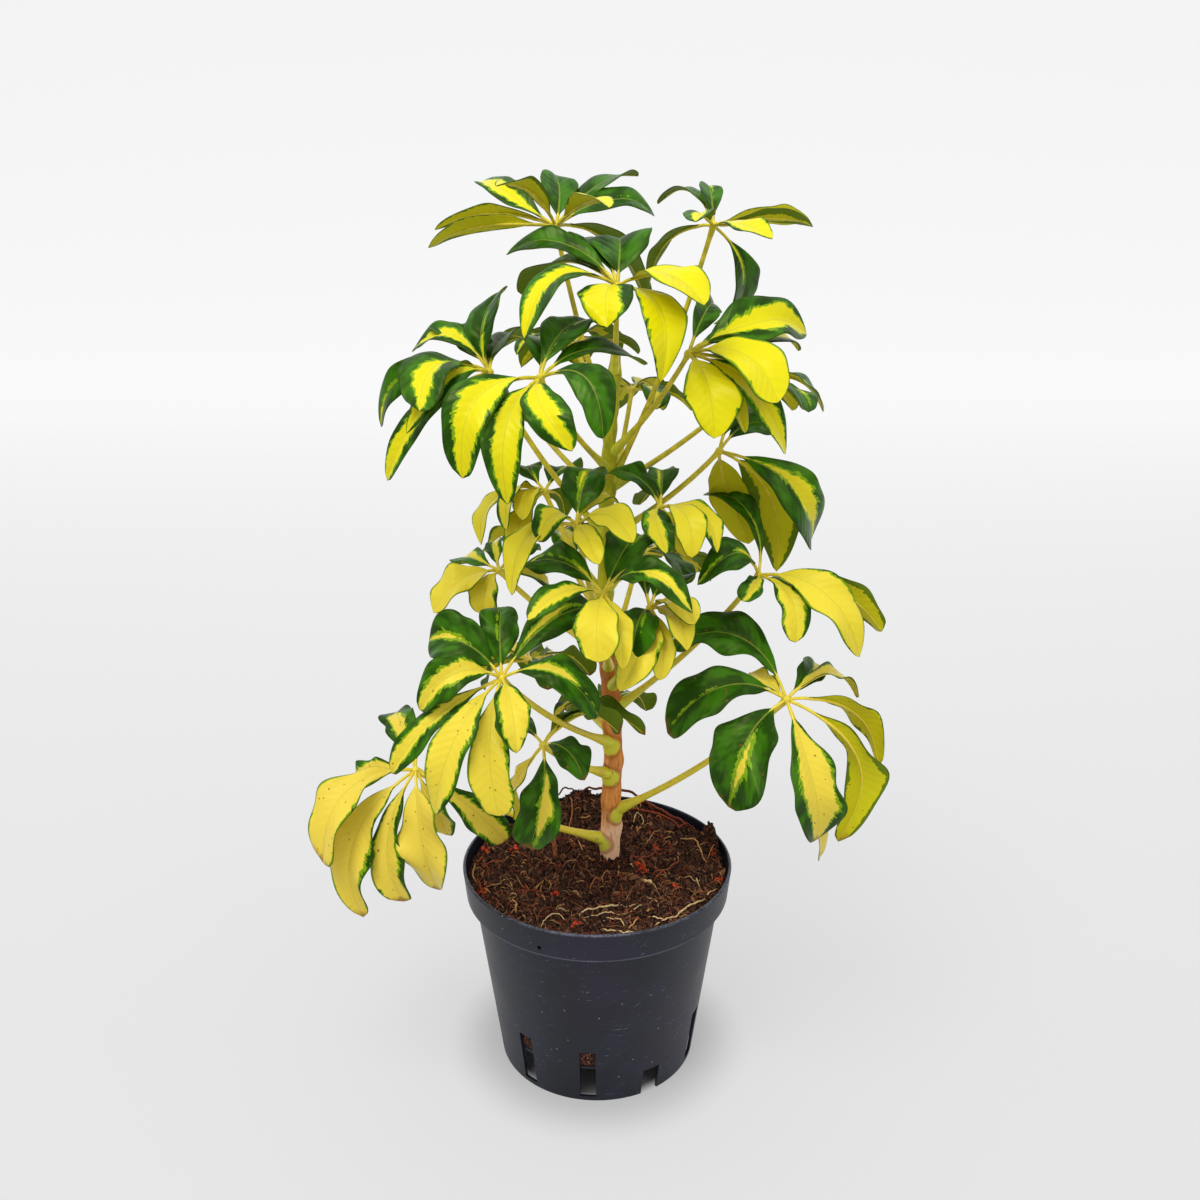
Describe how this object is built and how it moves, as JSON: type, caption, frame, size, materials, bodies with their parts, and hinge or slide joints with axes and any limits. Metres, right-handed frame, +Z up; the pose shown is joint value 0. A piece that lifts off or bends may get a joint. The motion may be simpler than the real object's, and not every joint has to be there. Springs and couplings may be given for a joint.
{
  "type": "potted umbrella plant",
  "caption": "Variegated dwarf umbrella tree: an upright stem with long-stalked palmate leaves of arching leaflets, in a black nursery pot of peat with drain slots round its foot.",
  "frame": {"origin": "on the ground under the middle of the whole plant's bounding box, a few millimetres from the pot's axis", "axes": "+Z up along the stem, -Y towards the side seen in the picture, +X to its right"},
  "size_m": [0.3684, 0.291, 0.6161],
  "materials": {
    "pot_plastic": "satin",
    "peat": "matte",
    "bark": "matte",
    "dead_wood": "matte",
    "leaf": "satin"
  },
  "bodies": {
    "root": {"pot": "pot_plastic", "soil": "peat", "trunk": "bark", "twig": "dead_wood", "leaf_01": "leaf", "leaf_02": "leaf", "leaf_03": "leaf", "leaf_04": "leaf", "leaf_05": "leaf", "leaf_06": "leaf", "leaf_07": "leaf", "leaf_08": "leaf", "leaf_09": "leaf", "leaf_10": "leaf", "leaf_11": "leaf", "leaf_12": "leaf", "leaf_13": "leaf", "leaf_14": "leaf", "leaf_15": "leaf", "leaf_16": "leaf", "leaf_17": "leaf", "leaf_18": "leaf", "leaf_19": "leaf", "leaf_20": "leaf", "leaf_21": "leaf", "leaf_22": "leaf", "leaf_23": "leaf", "leaf_24": "leaf", "leaf_25": "leaf", "leaf_26": "leaf"}
  },
  "joints": []
}
